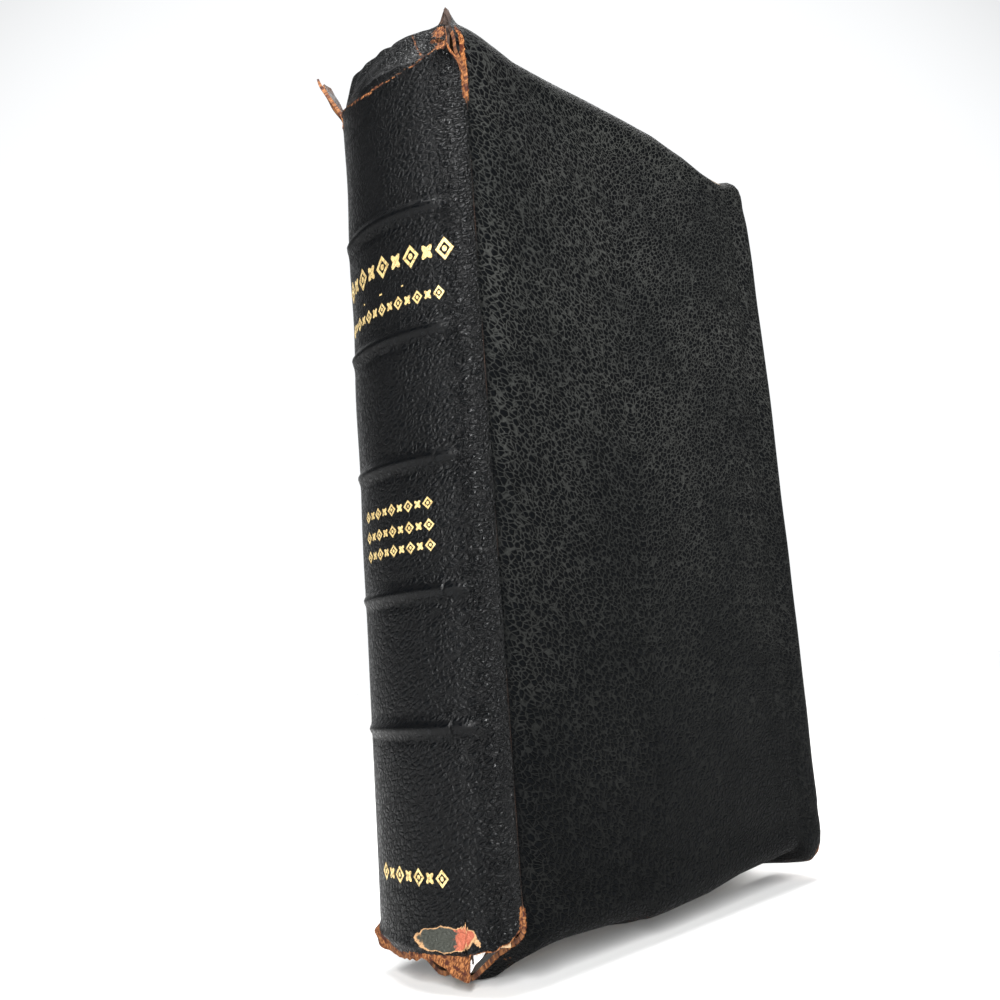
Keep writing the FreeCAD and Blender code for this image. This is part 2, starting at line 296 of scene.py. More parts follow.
def grain_leather(name, roughness, ior):
    """Black pebble grain over the unfolded sheet, worn to brown where the piece's worn value says so.

    roughness is the plain grain's, and the lower ior is, the weaker are its highlights.
    """
    n = Nodes(name, IOR=ior)
    sheet = n.add("Attribute", attribute_name="sheet", output=1)
    worn = n.add("Attribute", attribute_name="worn", output=2)
    shine = n.add("Attribute", attribute_name="shine", output=2)

    # Cells about 1.8 by 1.1 mm. They slant down towards the fore-edge on the covers and the other way on the
    # spine.
    axes = n.add("SeparateXYZ", {"Vector": sheet})
    across, up = axes, axes.node.outputs[1]
    folded = n.math("PINGPONG", n.math("ADD", across, JOINT_S), 2 * JOINT_S)
    at = n.add("CombineXYZ", {0: folded, 1: up, 2: axes.node.outputs[2]})
    drift = n.add("TexNoise", {"Vector": at, "Scale": 0.22, "Detail": 2.0}, output=1)
    drift = n.add("VectorMath", {0: drift, 1: (0.5, 0.5, 0.5)}, operation="SUBTRACT")
    drift = n.add("VectorMath", {0: drift, "Scale": 1.5}, operation="SCALE")
    warped = n.add("VectorMath", {0: at, 1: drift}, operation="ADD")
    cells = n.stretch(warped, -0.55, (0.56, 0.92, 0.8))
    edge = n.add("TexVoronoi", {"Vector": cells, "Scale": 1.0, "Randomness": 0.9}, feature="DISTANCE_TO_EDGE")
    small = n.add("TexVoronoi", {"Vector": n.stretch(warped, -0.35, (1.15, 1.75, 1.5)), "Scale": 1.0},
                  feature="DISTANCE_TO_EDGE")
    on_cover = n.step(n.math("ABSOLUTE", across), JOINT_S - 2, JOINT_S + 3)
    crease = n.step(edge, 0.0, 0.26)
    pit = n.step(small, 0.0, 0.16)
    fine = n.noise(sheet, 3.2, 3)
    height = n.math("MULTIPLY_ADD", n.math("MINIMUM", edge, 0.5), 0.45, n.math("MULTIPLY", crease, 0.75))
    height = n.math("MULTIPLY_ADD", pit, n.math("MULTIPLY_ADD", on_cover, -0.14, 0.26), height)
    height = n.math("MULTIPLY_ADD", fine, 0.04, height)
    wrinkle = n.noise(n.stretch(warped, -0.75, (0.10, 0.50, 0.3)), 1.0, 3)
    height = n.math("MULTIPLY_ADD", n.step(wrinkle, 0.42, 0.50), 0.20, height)

    broad = n.noise(sheet, 0.035, 3)
    patchy = n.step(n.noise(sheet, 0.25, 3), 0.2, 0.6, 0.75, 1.0)
    # Patchy dust that fades towards the bottom of the sheet: the fading is painted shade.
    dust_and_painted_shade = n.math("MULTIPLY", patchy, n.step(up, 0, 190, 0.22, 1.0))
    # Paler lines along the cells' edges on the covers: dust in the creases, plus painted light for the lit
    # edges of the pebbles.
    dusty_net_and_painted_light = n.math("MULTIPLY", n.step(edge, 0.0, 0.15, 1.0, 0.0), dust_and_painted_shade)
    # The creases are a little darker than the cells: painted shade.
    black = n.mix(crease, rgb(0.0005, 0.0006, 0.0008), rgb(0.0012, 0.0015, 0.0019))
    # The grey of these paler lines, for both the dust and the painted light.
    dusty = n.mix(n.step(broad, 0.34, 0.66), rgb(0.019, 0.020, 0.019), rgb(0.029, 0.030, 0.028))
    black = n.mix(n.math("MULTIPLY", dusty_net_and_painted_light, on_cover), black, dusty)
    flesh, fibres = flesh_colour(n, sheet)
    ragged = n.math("MULTIPLY_ADD", n.math("SUBTRACT", n.noise(sheet, 1.1, 4, 0.65), 0.5), 1.1, worn)
    bare = n.step(ragged, 0.47, 0.56)
    fringe = n.step(ragged, 0.42, 0.50)
    colour = n.mix(n.math("MULTIPLY", fringe, 0.75), black, rgb(0.040, 0.020, 0.012))
    colour = n.mix(bare, colour, flesh)
    # Where the leather has come away altogether, the grey lining shows inside a tan, frayed outline.
    gone = n.add("Attribute", attribute_name="gone", output=2)
    frayed = n.math("MULTIPLY_ADD", n.math("SUBTRACT", n.noise(sheet, 1.6, 4, 0.65), 0.5), 0.35, gone)
    spot = n.math("MULTIPLY_ADD", n.math("SUBTRACT", n.noise(sheet, 0.8, 2), 0.5), 5.0, across)
    lined = n.mix(n.step(spot, 10.2, 10.9), rgb(0.036, 0.038, 0.032), rgb(0.30, 0.085, 0.05))
    lined = n.mix(n.step(frayed, 0.50, 0.62), rgb(0.34, 0.20, 0.10), lined)
    colour = n.mix(n.step(frayed, 0.28, 0.36), colour, lined)

    smoothed = n.step(shine, 0.45, 0.80)
    relief = n.math("MULTIPLY_ADD", smoothed, -0.85, n.math("MULTIPLY_ADD", on_cover, 0.9, 1.0))
    ridge = n.math("ABSOLUTE", across)
    ridge = n.math("MULTIPLY", n.step(ridge, 16, 21), n.step(ridge, JOINT_S - 1, JOINT_S + 1, 1.0, 0.0))
    relief = n.math("MULTIPLY_ADD", ridge, 1.3, relief)
    height = n.math("MULTIPLY", height, relief)
    low = n.math("MULTIPLY_ADD", ridge, -0.10, n.math("MULTIPLY_ADD", on_cover, 0.12, roughness))
    low = n.math("MULTIPLY_ADD", shine, -0.10, low)
    rough = n.math("MULTIPLY_ADD", n.math("SUBTRACT", 1.0, crease), 0.22, low)
    rough = n.math("MULTIPLY_ADD", n.math("SUBTRACT", fine, 0.5), 0.16, rough)
    rough = n.add("Mix", {0: bare, 2: rough, 3: 0.85})
    height = n.math("MULTIPLY_ADD", n.math("MULTIPLY", bare, fibres), 0.5,
                    n.math("MULTIPLY", height, n.math("MULTIPLY_ADD", bare, -0.75, 1.0)))
    return n.wire(Base_Color=colour, Roughness=rough, Normal=n.bump(height, 0.00019))


def flesh_leather():
    """The torn edge of the leather: brown fibres."""
    n = Nodes("torn_leather_edge", IOR=1.45)
    sheet = n.add("Attribute", attribute_name="sheet", output=1)
    colour, fibres = flesh_colour(n, sheet)
    return n.wire(Base_Color=colour, Roughness=n.step(fibres, 0.3, 0.7, 0.75, 0.95),
                  Normal=n.bump(fibres, 0.0005))


def lining_leather():
    """The covers' inner side: a thin smooth lining, nearly black, browned by handling."""
    n = Nodes("leather_lining", IOR=1.45)
    sheet = n.add("Attribute", attribute_name="sheet", output=1)
    patches = n.noise(sheet, 0.12, 4)
    fine = n.noise(sheet, 2.4, 4)
    colour = n.mix(n.step(patches, 0.35, 0.68), rgb(0.014, 0.010, 0.009), rgb(0.050, 0.024, 0.014))
    return n.wire(Base_Color=colour, Roughness=n.step(fine, 0.3, 0.7, 0.5, 0.72),
                  Normal=n.bump(fine, 0.00012))


spine_grain = grain_leather("spine_pebble_grain", 0.34, 1.23)
cover_grain = grain_leather("black_pebble_grain", 0.34, 1.10)
torn_edge = flesh_leather()
lining = lining_leather()


# ---- the leather ----
def joint_tear(z):
    """How far the torn ends of the joints have parted, in millimetres: at the head and, less, at the tail."""
    return 1.7 * smooth((z - 197) / 17) + 0.8 * smooth((22 - z) / 11)


def line(*knots):
    """A function that follows the given (place, value) pairs."""
    at, values = np.array(knots, float).T
    return lambda v: np.interp(v, at, values)


def spine_skin():
    """The spine's leather, with the standing flap at its head and the torn hanging flap at its tail."""
    s = np.linspace(-JOINT_S, JOINT_S, 111)
    fold = line((-26, 216.5), (-20, 215.4), (-12, 212.2), (-3, 210.2), (6, 210.5), (12, 211.4), (16, 213.3),
                (19, 214.4), (27, 215.0))(s)
    top = line((-27, 221.0), (-23, 223.2), (-20, 225.6), (-10, 226.4), (-2, 226.0), (8, 225.2), (14, 224.9),
               (19, 225.2), (23, 224.6), (27, 222.5))(s) + 0.3 * ripple(s, s * 0, 7.0, 4)
    low = line((-27, 9.4), (-23, 7.6), (-18, 5.6), (-14, 5.2), (-10, 5.0), (-6, 5.6), (-2.5, 6.1), (1, 6.8),
               (5, 5.8), (7.3, 4.8), (8, 3.4), (10, 2.9), (12.3, 2.3), (12.9, 4.5), (13.5, 8.5), (16, 9.2),
               (18, 9.4), (20, 9.9), (22, 10.9), (27, 14.5))(s) + 0.25 * ripple(s, s * 0, 2.6, 3)
    bare_below = line((-27, 13.0), (-21, 11.3), (-16, 9.8), (-13, 8.2), (-10, 7.2), (-6, 7.6), (-3, 8.2),
                      (2, 8.5), (12, 8.7), (14, 8.9), (27, 9.0))(s)
    high = fold + (top - fold) / 0.95
    v = low + np.linspace(0, 1, 330)[:, None] * (high - low)
    s, fold = np.broadcast_to(s, v.shape), np.broadcast_to(fold, v.shape)
    # Above the fold the right edge of the spine is torn back from the joint.
    at_s = np.where(s > 18, 18 + (s - 18) * (1 - 0.44 * smooth((v - 208.5) / 7)), s)
    above = np.maximum(v - fold, 0)
    below = np.maximum(SPINE_TAIL + 0.6 - v, 0)
    points, outward = spine_surface(at_s, np.clip(v, SPINE_TAIL, SPINE_HEAD))
    leaning = np.maximum(v - np.maximum(fold, 213.0), 0)
    inward_head = (0.38 + 0.10 * np.tanh((s + 12) / 5)) * leaning + 0.45 * smooth(leaning / 1.2)
    inward_tail = 0.30 * below + 0.5 * smooth(below / 1.5)
    crease = 0.35 * hill(v, fold, 0.8) + 0.3 * hill(v, SPINE_TAIL + 0.4, 0.9)
    wave = 0.40 * ripple(s, v, 9, 8) * smooth((above + below) / 4)
    torn_out = 2.0 * smooth((-15 - s) / 6) * smooth((11.5 - v) / 3.5)
    bald = 1 - np.hypot((s - 8.0) / 8.2, (v - 11.2 - 0.05 * s) / 2.6) + 0.12 * ripple(s, v, 3.4, 14)
    bald = smooth(bald / 0.45 + 0.35)
    dent = 0.40 * smooth((bald - 0.4) / 0.4) - 0.22 * hill(bald, 0.35, 0.22)
    inward = inward_head + inward_tail - crease + wave + dent - torn_out
    points = points - outward * inward[..., None]
    points[..., 2] = np.where(above > 0, fold + 0.95 * above, v + 0.04 * below)
    near_front = smooth((s - JOINT_S + 3) / 3)
    points[..., 1] -= 0.5 * joint_tear(v) * near_front
    flat = points.reshape(-1, 3)
    faces = grid_faces(np.arange(s.size).reshape(s.shape))
    middle_s, middle_v = s.ravel()[faces].mean(axis=1), v.ravel()[faces].mean(axis=1)
    hole = np.hypot((middle_s - 19.6) / 3.6, (middle_v - 218.8 + 0.12 * (middle_s - 19)) / 0.9)
    faces = faces[hole > 1 + 0.3 * ripple(middle_s, middle_v, 2.5, 15)]
    points, faces, slots = thick_sheet(flat, faces, LEATHER)

    front_edge = hill(s, JOINT_S, 1.5) * smooth(joint_tear(v) / 0.5)
    back_edge = hill(s, -JOINT_S, 1.6) * smooth((v - 206) / 5)
    worn = np.maximum.reduce([
        (0.66 + 0.10 * ripple(s, s * 0, 12, 21)) * hill(v, fold + 0.2 * ripple(s, s * 0, 5, 20), 0.55),
        0.95 * hill(v, 222.2, 2.9) * hill(s, 20.2, 3.8),
        0.95 * hill(v, 216.2, 2.1) * hill(s, 22.0, 4.0),
        0.62 * hill(s + 0.5 * (v - 214.5), 15.0, 0.6) * smooth((v - 214) / 1.0),
        0.92 * smooth((bare_below - v) / 0.7),
        0.72 * smooth((low + 0.8 - v) / 0.7),
        front_edge, back_edge,
    ])
    shine = 0.4 * hill(s, 20.5, 6.0) + 0.3 * hill(s, -20.5, 6.0)
    fade = 1 - smooth((np.abs(s) - 17) / 4)
    for level in BANDS:
        shine = np.maximum(shine, 1.0 * hill(v, level, 2.1) * fade)
    sheet = np.stack([s, v, 0 * s], -1).reshape(-1, 3)
    return points, faces, slots, sheet, worn.ravel(), shine.ravel(), bald.ravel()


def cover_outline(columns, rows):
    """The ring from the joint along the head, down the fore-edge and back along the tail: for each step the
    inner point where the cover is flat, the outline's point and its direction outward."""
    inner, outline, outward = [], [], []
    arc = CORNER * math.pi / 4
    corner_gain = INSET - CORNER + arc

    def corner_point(run, head, along_fore):
        """A point on the outline, run from the corner's middle, as y, z and the direction outward."""
        middle = np.array([DEPTH - CORNER, (COVER_HEAD - CORNER) if head else (COVER_TAIL + CORNER)])
        turn = math.pi / 4 * (1 - min(run / arc, 1))
        level, fore = math.cos(turn), math.sin(turn)
        if along_fore:
            level, fore = fore, level
        direction = np.array([fore, level if head else -level])
        point = middle + CORNER * direction
        extra = max(run - arc, 0)
        if along_fore:
            point[1] -= extra if head else -extra
        else:
            point[0] -= extra
        return point, direction

    def step(y, z, head, along_fore):
        distance = (FLAT_HIGH - z if head else z - FLAT_LOW) if along_fore else FLAT_Y - y
        gain = 1 - (1 - min(distance / 26, 1)) ** 2
        point, direction = corner_point(distance + corner_gain * gain, head, along_fore)
        inner.append((y, z))
        outline.append(point)
        outward.append(direction)

    for y in columns:
        step(y, FLAT_HIGH, True, False)
    for z in rows[-2::-1]:
        step(FLAT_Y, z, z > (FLAT_LOW + FLAT_HIGH) / 2, True)
    for y in columns[-2::-1]:
        step(y, FLAT_LOW, False, False)
    inner, outline, outward = map(np.array, (inner, outline, outward))
    return inner, outline, outward


def cover_skin(shape):
    """One cover's leather with its three flaps, on the front cover's side. shape says how its edges wave."""
    near = JOINT_Y + 9 * np.linspace(0, 1, 15) ** 1.15
    columns = np.concatenate([near, np.linspace(near[-1] + 1.2, FLAT_Y, 88)])
    rows = np.linspace(FLAT_LOW, FLAT_HIGH, 160)
    y, z = np.meshgrid(columns, rows)
    count = y.size
    index = np.arange(count).reshape(y.shape)
    points = [np.stack([cover_x(y), y, z], -1).reshape(-1, 3)]
    sheet = [np.stack([JOINT_S + y - JOINT_Y, z], -1).reshape(-1, 2)]

    inner, outline, outward = cover_outline(columns, rows)
    ring = np.concatenate([index[-1, :], index[-2::-1, -1], index[0, -2::-1]])
    edge_y, edge_z = outline[:, 0], outline[:, 1]
    head = smooth((outward[:, 1] + 0.2) / 0.9)
    tail = smooth((-outward[:, 1] + 0.2) / 0.9)
    fore = smooth((outward[:, 0] + 0.1) / 0.9)
    total = head + tail + fore
    out = head * shape.head_out(edge_y) + tail * shape.tail_out(edge_y) + fore * shape.fore_out(edge_z)
    out = out / total
    lean = (head * shape.head_lean(edge_y) + tail * shape.tail_lean(edge_y) + fore * 97.0) / total
    radius = (head * FOLD + tail * 7.0 + fore * 4.6) / total
    diagonal = (2 * outward[:, 0] * np.abs(outward[:, 1])) ** 2
    out = out + diagonal * np.where(outward[:, 1] > 0, 2.4, 3.2)
    reach = REACH + 0.5 * ripple(edge_y, edge_z, 16, shape.seed)
    outline = outline + outward * out[:, None]

    # The steps across the edge: flat, then round the fold, then along the flap.
    flat_steps = np.linspace(0, 1, 7)[1:]
    fold_steps = np.linspace(0, 1, 12)[1:]
    flap_steps = np.linspace(0, 1, 14)[1:]
    turn_end = np.radians(lean)
    base_x = cover_x(inner[:, 0])
    layers = []
    for f in flat_steps:
        g = f * (INSET - radius)
        layers.append((g - INSET, 0 * g, g, False))
    for f in fold_steps:
        turn = turn_end * f
        layers.append((radius * np.sin(turn) - radius, radius * (1 - np.cos(turn)),
                       INSET - radius + radius * turn, turn > math.pi / 2))
    last_a, last_b, last_g, _ = layers[-1]
    length = np.maximum(reach - last_b, 4) / np.sin(turn_end)
    for f in flap_steps:
        run = length * f
        layers.append((last_a + np.cos(turn_end) * run, last_b + np.sin(turn_end) * run, last_g + run, True))
    previous = ring
    faces = [grid_faces(index)]
    for a, b, g, turned in layers:
        share = ((a + INSET) / INSET)[:, None]
        inside = inner + (outline - inner) * np.minimum(share, 1)
        outside = outline + outward * a[:, None]
        beyond = np.logical_or(turned, a > 0)[:, None]
        yz = np.where(beyond, outside, inside)
        x = base_x - b
        lobe = shape.horn * hill(b, 6.2, 1.9) * hill(edge_y, JOINT_Y, 2.0) * (outward[:, 1] > 0.5)
        points.append(np.column_stack([x, yz[:, 0], yz[:, 1] + lobe]))
        away = inner + outward * g[:, None]
        sheet.append(np.column_stack([JOINT_S + away[:, 0] - JOINT_Y, away[:, 1]]))
        layer = count + np.arange(len(ring))
        faces.append(grid_faces(np.stack([previous, layer])))
        previous = layer
        count += len(ring)
    points, sheet, faces = np.concatenate(points), np.concatenate(sheet), np.concatenate(faces)
    return finish_cover(points, sheet, faces, shape)


def finish_cover(points, sheet, faces, shape):
    """Adds the cover's dents, waves and torn joint, its thickness, and its worn and shiny places."""
    x, y, z = points.T
    flatness = smooth((x - HALF + 5) / 4) * smooth((y - 4) / 10)
    shelf = hill(np.minimum(COVER_HEAD - z, z - COVER_TAIL), 12.5, 3.4) + hill(DEPTH - y, 12.5, 3.4)
    dent = 0.16 * ripple(y, z, 46, shape.seed + 1) + 0.09 * ripple(y, z, 19, shape.seed + 2) - 0.40 * shelf
    points[:, 0] += dent * flatness
    tuck = smooth((HALF - 7 - x) / 5)
    sway = 0.7 * ripple(y, z, 27, shape.seed + 3) * tuck
    vertical = smooth((np.abs(z - 114) - 96) / 8)
    points[:, 2] += sway * vertical
    points[:, 1] -= np.abs(sway) * (1 - vertical)
    near = np.exp(-np.maximum(y - JOINT_Y, 0) / 2.5)
    back = smooth((z - 208.5) / 7) * near * shape.bent * smooth((x - HALF + 6) / 3.5)
    points[:, 1] += 0.5 * joint_tear(z) * near * shape.torn - 2.6 * back
    points[:, 0] += 0.15 * joint_tear(z) * near * shape.torn - 0.9 * back
    worn = shape.worn(points)
    points[:, 2] = np.maximum(points[:, 2], 0.5)
    full_points, full_faces, slots = thick_sheet(points, faces, LEATHER)
    shine = 0.35 * hill(y, 3.0, 2.5) + 0.25 * smooth((HALF - x) / 6)
    return full_points, full_faces, slots, np.column_stack([sheet, 0 * y]), worn, shine, 0 * y


class FrontShape:
    """How the front cover's edges wave, lean and wear.

    seed starts its ripples. torn says how far the joint's torn ends part, bent how far the head flap is drawn
    back beside the joint, and horn how far its torn leather stands up there. The _out lines give how far each
    edge stands outside the plain outline, in millimetres, and the _lean lines how far a flap is folded, in
    degrees. The knots of head_out and tail_out began as another script's rounded output, as report.md says.
    """

    seed = 11
    torn = 1.0
    bent = 1.0
    horn = 4.6
    head_out = staticmethod(line((1.6, 3.2), (5, 3.4), (13, 1.5), (20, -0.4), (32, -0.3), (44, 0.2), (62, 0.6),
                                 (81, 0.9), (95, -0.9), (106, -3.4), (115, -4.4), (124, -3.0), (133, -1.6)))
    tail_out = staticmethod(line((1.6, -3.2), (6.5, -0.6), (15, -1.5), (28, -1.0), (44, -0.3), (49, 1.1),
                                 (56, 1.0), (74, 0.1), (89, -1.9), (105, -2.8), (119, -3.6), (125, -1.5),
                                 (133, 1.6)))
    fore_out = staticmethod(line((10, 3.2), (60, 3.2), (120, 3.2), (170, 2.2), (205, 0.2), (215, -0.4)))
    head_lean = staticmethod(line((1.6, 70), (10, 82), (20, 98), (40, 102), (133, 99)))
    tail_lean = staticmethod(line((1.6, 55), (8, 62), (20, 71), (50, 79), (110, 80), (133, 72)))

    @staticmethod
    def worn(points):
        x, y, z = points.T
        edge = 0.95 * hill(y, JOINT_Y, 0.9) * smooth(joint_tear(z) / 0.5) * (1 - 0.5 * smooth((z - 220) / 3))
        corner = 0.95 * hill(y, 132, 5.5) * smooth((13.5 - z) / 6) * smooth((x - 4) / 8)
        nick = 0.8 * hill(y, 79, 2.2) * hill(z, 4.6, 1.6) * smooth((x - 8) / 4)
        rub = 0.36 * smooth((8.4 - z) / 2.5) * smooth((x - 9) / 4)
        horn = 0.30 * hill(y, JOINT_Y, 3.2) * smooth((z - 221) / 3)
        return np.maximum.reduce([edge, corner, nick, rub, horn])


class BackShape(FrontShape):
    """The back cover, whose far side is not known: the same binding with calmer waves."""

    seed = 23
    torn = 0.5
    bent = 0.0
    horn = 0.0
    head_out = staticmethod(line((1.6, -1.0), (12, 0.3), (40, 0.2), (75, 1.0), (105, -0.6), (133, -1.4)))
    tail_out = staticmethod(line((1.6, -2.6), (10, -1.2), (40, -0.4), (60, 0.8), (90, -0.9), (118, -2.4),
                                 (133, 0.5)))
    head_lean = staticmethod(line((1.6, 86), (20, 97), (133, 100)))

    @staticmethod
    def worn(points):
        x, y, z = points.T
        edge = 0.8 * hill(y, JOINT_Y, 1.3) * np.maximum(smooth((z - 206) / 5), smooth((18 - z) / 5))
        corner = 0.9 * hill(y, 132, 4.0) * smooth((11.5 - z) / 5) * smooth((x - 4) / 8)
        rub = 0.34 * smooth((8.2 - z) / 2.5) * smooth((x - 9) / 4)
        top = 0.5 * hill(y, 131, 4.5) * smooth((z - 214) / 5) * smooth((x - 8) / 6)
        return np.maximum.reduce([edge, corner, rub, top])


def leather_piece(name, built, grain, side=1):
    """A leather sheet as an object with its values for the materials. side is -1 for the back cover."""
    points, faces, slots, sheet, worn, shine, gone = built
    if side < 0:
        points, faces, sheet = points * [-1, 1, 1], faces[:, ::-1], sheet * [-1, 1, 1]
    middle = points[faces].mean(axis=1)
    whole_joint = (np.abs(middle[:, 1] - JOINT_Y) < 0.7) & (middle[:, 2] > 17) & (middle[:, 2] < 203)
    dark_top = (middle[:, 1] < 6) & (middle[:, 2] > 220) & (name != "torn_corner_at_head")
    slots = np.where((slots == 2) & (whole_joint | dark_top), 1, slots)
    piece = make_piece(name, points, faces, [grain, lining, torn_edge], slots, 1.1)
    for key, values in (("sheet", sheet), ("worn", worn), ("shine", shine), ("gone", gone)):
        add_values(piece, key, np.concatenate([values, values]))
    return piece


def corner_horn():
    """The torn corner of leather that stands in two points beside the spine's head, at the back cover."""
    edge = -JOINT_S
    s = np.linspace(edge - 0.2, edge + 5.0, 27)
    tips = line((edge - 0.2, 222.5), (edge + 0.6, 227.4), (edge + 1.5, 227.9), (edge + 2.2, 222.8),
                (edge + 2.8, 223.4), (edge + 3.5, 227.0), (edge + 4.2, 222.5), (edge + 5.0, 216.0))
    share = np.linspace(0, 1, 46)[:, None]
    v = 211.5 + share * (tips(s) - 211.5)
    s = np.broadcast_to(s, v.shape)
    points, outward = spine_surface(s, np.minimum(v, SPINE_HEAD))
    points[..., 2] = v
    lean = 0.25 + 5.2 * smooth((v - 212) / 17) + 0.35 * ripple(s, v, 6, 31)
    points = points + outward * lean[..., None]
    points[..., 1] -= 2.2 * smooth((v - 213) / 14)
    faces = grid_faces(np.arange(s.size).reshape(s.shape))
    thickness = 0.95 - 0.45 * smooth((v - 222) / 6)
    full, faces, slots = thick_sheet(points.reshape(-1, 3), faces, thickness.ravel())
    worn = np.maximum(0.9 * smooth((v - 219) / 5), 0.8 * hill(s, edge + 4.4, 1.2)) + 0 * v
    nothing = 0 * worn.ravel()
    return full, faces, slots, np.stack([s, v, 0 * s], -1).reshape(-1, 3), worn.ravel(), nothing, nothing


def torn_lining():
    """A torn strip of the pale spine lining that hangs out where the leather's lower flap is gone."""
    share = np.linspace(0, 1, 22)[:, None]
    across = np.linspace(0, 1, 9)[None, :]
    left = 11.0 + 4.2 * share + 0.15 * np.sin(17 * share)
    right = 12.4 + 6.2 * share + 0.15 * np.sin(13 * share + 1)
    s = left + across * (right - left)
    v = 4.4 + 6.0 * share + 0.35 * across
    points, outward = spine_surface(s, np.full_like(s, SPINE_TAIL))
    points = points - outward * (1.3 + 0.9 * (1 - share) + 0.2 * np.sin(3 * across))[..., None]
    points[..., 2] = v
    faces = grid_faces(np.arange(s.size).reshape(s.shape))
    points, faces, _ = thick_sheet(points.reshape(-1, 3), faces, 0.18)
    n = Nodes("torn_lining_paper", IOR=1.45)
    at = in_mm(n)
    fibre = n.noise(at, 1.8, 4)
    n.wire(Base_Color=n.mix(n.step(fibre, 0.35, 0.65), rgb(0.46, 0.45, 0.43), rgb(0.72, 0.71, 0.70)),
           Roughness=n.step(fibre, 0.3, 0.7, 0.85, 0.75), Normal=n.bump(fibre, 0.0002))
    return make_piece("torn_lining", points, faces, [n.material])


spine = leather_piece("spine_skin", spine_skin(), spine_grain)
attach(spine, "spine_and_pages")
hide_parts("spine_leather")
horn = leather_piece("torn_corner_at_head", corner_horn(), spine_grain)
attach(horn, "spine_and_pages")
strip = torn_lining()
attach(strip, "spine_and_pages")

for side, name, shape in ((1, "front", FrontShape), (-1, "back", BackShape)):
    skin = leather_piece(name + "_cover_skin", cover_skin(shape), cover_grain, side)
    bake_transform(skin)
    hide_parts(name + "_cover_leather")


# ---- gilt tooling: plain ornaments ----
def gilt_leaf():
    """Gold leaf pressed into leather, rubbed off the high grain."""
    n = Nodes("rubbed_gilt", Metallic=0.55)
    sheet = in_mm(n)
    rubbed = n.step(n.noise(sheet, 1.3, 4, 0.7), 0.47, 0.60)
    tone = n.mix(n.noise(sheet, 0.4, 2), rgb(0.62, 0.42, 0.14), rgb(0.90, 0.72, 0.36))
    colour = n.mix(n.math("MULTIPLY", rubbed, 0.7), tone, rgb(0.10, 0.062, 0.026))
    return n.wire(Base_Color=colour, Roughness=n.step(rubbed, 0, 1, 0.42, 0.7),
                  Normal=n.bump(n.noise(sheet, 1.6, 3), 0.00012))


def stamp(outline, centre, points, faces):
    """Adds one raised patch of gold, given as an outline around its centre, both as (s, z)."""
    s, z = np.array(outline + [centre]).T
    top, outward = spine_surface(s, z)
    start, count = len(points), len(outline)
    points.extend(top + outward * 0.07)
    points.extend(top[:-1] - outward[:-1] * 0.10)
    for k in range(count):
        following = (k + 1) % count
        faces.append((start + k, start + following, start + count))
        base = start + count + 1
        faces.append((start + k, base + k, base + following, start + following))


def star(s, z, wide, high, petals, depth, turn=0.0):
    """An outline with petals, cut in by depth between them, or a plain oval where depth is 0."""
    steps = 6 * petals
    outline = []
    for k in range(steps):
        angle = math.tau * k / steps
        reach = 1 - depth * (0.5 - 0.5 * math.cos(petals * angle))
        outline.append((s + wide / 2 * reach * math.cos(angle + turn),
                        z + high / 2 * reach * math.sin(angle + turn)))
    return outline


def frame_shape(outer, share, points, faces):
    """Adds a hollow raised patch: an outline with the same outline, smaller, cut out of it."""
    outer = np.array(outer)
    middle = outer.mean(axis=0)
    start, count = len(points), len(outer)
    for edge in (outer, middle + (outer - middle) * share):
        top, outward = spine_surface(edge[:, 0], edge[:, 1])
        points.extend(top + outward * 0.07)
        points.extend(top - outward * 0.10)
    for k in range(count):
        a, b = start + k, start + (k + 1) % count
        faces.append((a, b, b + 2 * count, a + 2 * count))
        faces.append((a + count, b + count, b, a))
        faces.append((a + 2 * count, b + 2 * count, b + 3 * count, a + 3 * count))


def lozenge(s, z, wide, high):
    """A lozenge's outline with a point along each side, so that it follows the curve."""
    corners = np.array([(s + wide / 2, z), (s, z + high / 2), (s - wide / 2, z), (s, z - high / 2)])
    following = np.roll(corners, -1, axis=0)
    return np.stack([corners, corners * 0.5 + following * 0.5], 1).reshape(-1, 2).tolist()


def bar(s0, s1, z0, z1):
    """The outline of a short straight stroke."""
    return [(s0, z0), ((s0 + s1) / 2, z0), (s1, z0), (s1, z1), ((s0 + s1) / 2, z1), (s0, z1)]


def gilt_tooling():
    """Rows of plain ornaments, lozenges and four-petalled flowers in turn, and one thin rule."""
    points, faces = [], []

    def put(outline):
        middle = tuple(np.mean(outline, axis=0))
        stamp(outline, middle, points, faces)

    def row(s0, s1, z, high, count):
        pitch = (s1 - s0) / count
        for k in range(count):
            s = s0 + (k + 0.5) * pitch
            if k % 2:
                put(star(s, z, pitch * 0.80, high * 0.80, 4, 0.52, math.pi / 4))
            else:
                frame_shape(lozenge(s, z, pitch * 1.02, high), 0.60, points, faces)
                put(star(s, z, pitch * 0.26, high * 0.26, 4, 0.0))

    row(-20, 20.3, 164.0, 5.8, 9)
    put(bar(-8.7, 6.6, 157.2, 157.6))
    row(-19, 17.5, 153.5, 3.5, 13)
    for z in (104.9, 99.9, 95.35):
        row(-13.5, 11.5, z, 2.9, 9)
    row(-13.3, 9.9, 23.9, 3.8, 7)
    return make_piece("gilt_ornaments", np.array(points), faces, [gilt_leaf()], sharp=0.5)


gilt = gilt_tooling()
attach(gilt, "spine_and_pages")


